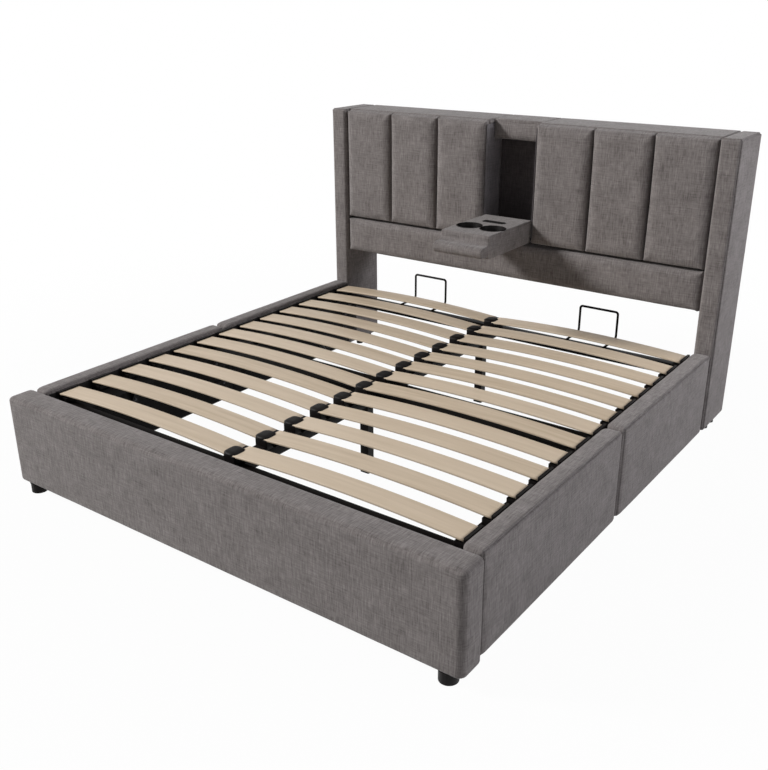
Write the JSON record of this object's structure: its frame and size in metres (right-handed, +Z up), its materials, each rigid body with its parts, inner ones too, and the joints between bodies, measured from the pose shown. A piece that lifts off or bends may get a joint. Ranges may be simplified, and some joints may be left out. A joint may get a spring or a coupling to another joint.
{
  "type": "upholstered storage bed",
  "caption": "Upholstered bed with a winged channel headboard, a fold-down tray with cup wells, and a sprung slat platform that lifts on gas struts over a storage bay.",
  "frame": {"origin": "on the floor, at the middle of the bed's footprint", "axes": "+Z up, +Y from the footboard towards the headboard, +X to the right seen from the foot"},
  "size_m": [2.1, 2.333, 1.325],
  "materials": {
    "woven_upholstery": "linen-look plain weave, warm grey",
    "dark_lining": "dark woven lining",
    "back_cloth": "black non-woven cloth over a board",
    "timber_board": "raw plywood and softwood",
    "birch_ply": "pale lacquered birch laminate",
    "black_plastic": "moulded, fine grain",
    "black_steel": "black powder coat, satin",
    "zinc_bolts": "bright zinc",
    "strut_paint": "dark grey gloss paint",
    "strut_chrome": "polished hard chrome"
  },
  "bodies": {
    "base": {"footboard_core": "timber_board", "footboard_cover": "woven_upholstery", "rail_core_left_foot": "timber_board", "rail_cover_left_foot": "woven_upholstery", "rail_core_left_head": "timber_board", "rail_cover_left_head": "woven_upholstery", "rail_core_right_foot": "timber_board", "rail_cover_right_foot": "woven_upholstery", "rail_core_right_head": "timber_board", "rail_cover_right_head": "woven_upholstery", "rail_joint_plates": "black_steel", "corner_brackets": "black_steel", "rest_brackets": "black_steel", "rest_bumpers": "black_plastic", "feet": "black_plastic", "wing_core_left": "timber_board", "wing_cover_left": "woven_upholstery", "wing_core_right": "timber_board", "wing_cover_right": "woven_upholstery", "headboard_front_board": "timber_board", "headboard_back_panel": "back_cloth", "headboard_frame": "timber_board", "headboard_top_pad": "woven_upholstery", "channel_pad_left_1": "woven_upholstery", "channel_pad_left_2": "woven_upholstery", "channel_pad_left_3": "woven_upholstery", "channel_pad_right_1": "woven_upholstery", "channel_pad_right_2": "woven_upholstery", "channel_pad_right_3": "woven_upholstery", "lower_pad": "woven_upholstery", "niche_header_pad": "woven_upholstery", "niche_box": "dark_lining", "tray_hinge_pins": "black_steel", "lift_hinge_plates": "black_steel", "lift_pivot_bolts": "zinc_bolts", "strut_lower_brackets": "black_steel", "assembly_bolts": "zinc_bolts"},
    "platform": {"frame_foot_half": "black_steel", "frame_head_half": "black_steel", "centre_beams": "black_steel", "slats_left": "birch_ply", "slats_right": "birch_ply", "centre_slat_holders": "black_plastic", "outer_slat_caps": "black_plastic", "centre_legs": "black_steel", "leg_glides": "black_plastic", "mattress_stops": "black_steel", "strut_upper_brackets": "black_steel", "frame_bolts": "zinc_bolts"},
    "strut_tube_left": {"strut_tube_left": "strut_paint"},
    "strut_tube_right": {"strut_tube_right": "strut_paint"},
    "strut_rod_left": {"strut_rod_left": "strut_chrome"},
    "strut_rod_right": {"strut_rod_right": "strut_chrome"},
    "tray": {"tray_box": "timber_board", "tray_cover": "woven_upholstery", "cup_liners": "black_plastic", "slot_liner": "black_plastic"}
  },
  "joints": [
    {"name": "platform_lift", "type": "hinge", "parent": "base", "child": "platform", "pos_m": [0, 0.8085, 0.332], "axis": [-1, 0, 0], "range_deg": [0, 40]},
    {"name": "strut_tube_left_turn", "type": "hinge", "parent": "base", "child": "strut_tube_left", "pos_m": [-0.935, 0.65099, 0.065], "axis": [-1, 0, 0], "range_deg": [0, 20]},
    {"name": "strut_rod_left_turn", "type": "hinge", "parent": "platform", "child": "strut_rod_left", "pos_m": [-0.935, 0.50208, 0.285], "axis": [-1, 0, 0], "range_deg": [-20, 0]},
    {"name": "strut_tube_right_turn", "type": "hinge", "parent": "base", "child": "strut_tube_right", "pos_m": [0.935, 0.65099, 0.065], "axis": [-1, 0, 0], "range_deg": [0, 20]},
    {"name": "strut_rod_right_turn", "type": "hinge", "parent": "platform", "child": "strut_rod_right", "pos_m": [0.935, 0.50208, 0.285], "axis": [-1, 0, 0], "range_deg": [-20, 0]},
    {"name": "tray_fold", "type": "hinge", "parent": "base", "child": "tray", "pos_m": [0, 0.9165, 0.7913], "axis": [-1, 0, 0], "range_deg": [0, 90]}
  ],
  "couplings": [
    {"joint": "strut_tube_left_turn", "follows": "platform_lift", "ratio": 0.5},
    {"joint": "strut_rod_left_turn", "follows": "platform_lift", "ratio": -0.5},
    {"joint": "strut_tube_right_turn", "follows": "platform_lift", "ratio": 0.5},
    {"joint": "strut_rod_right_turn", "follows": "platform_lift", "ratio": -0.5}
  ]
}
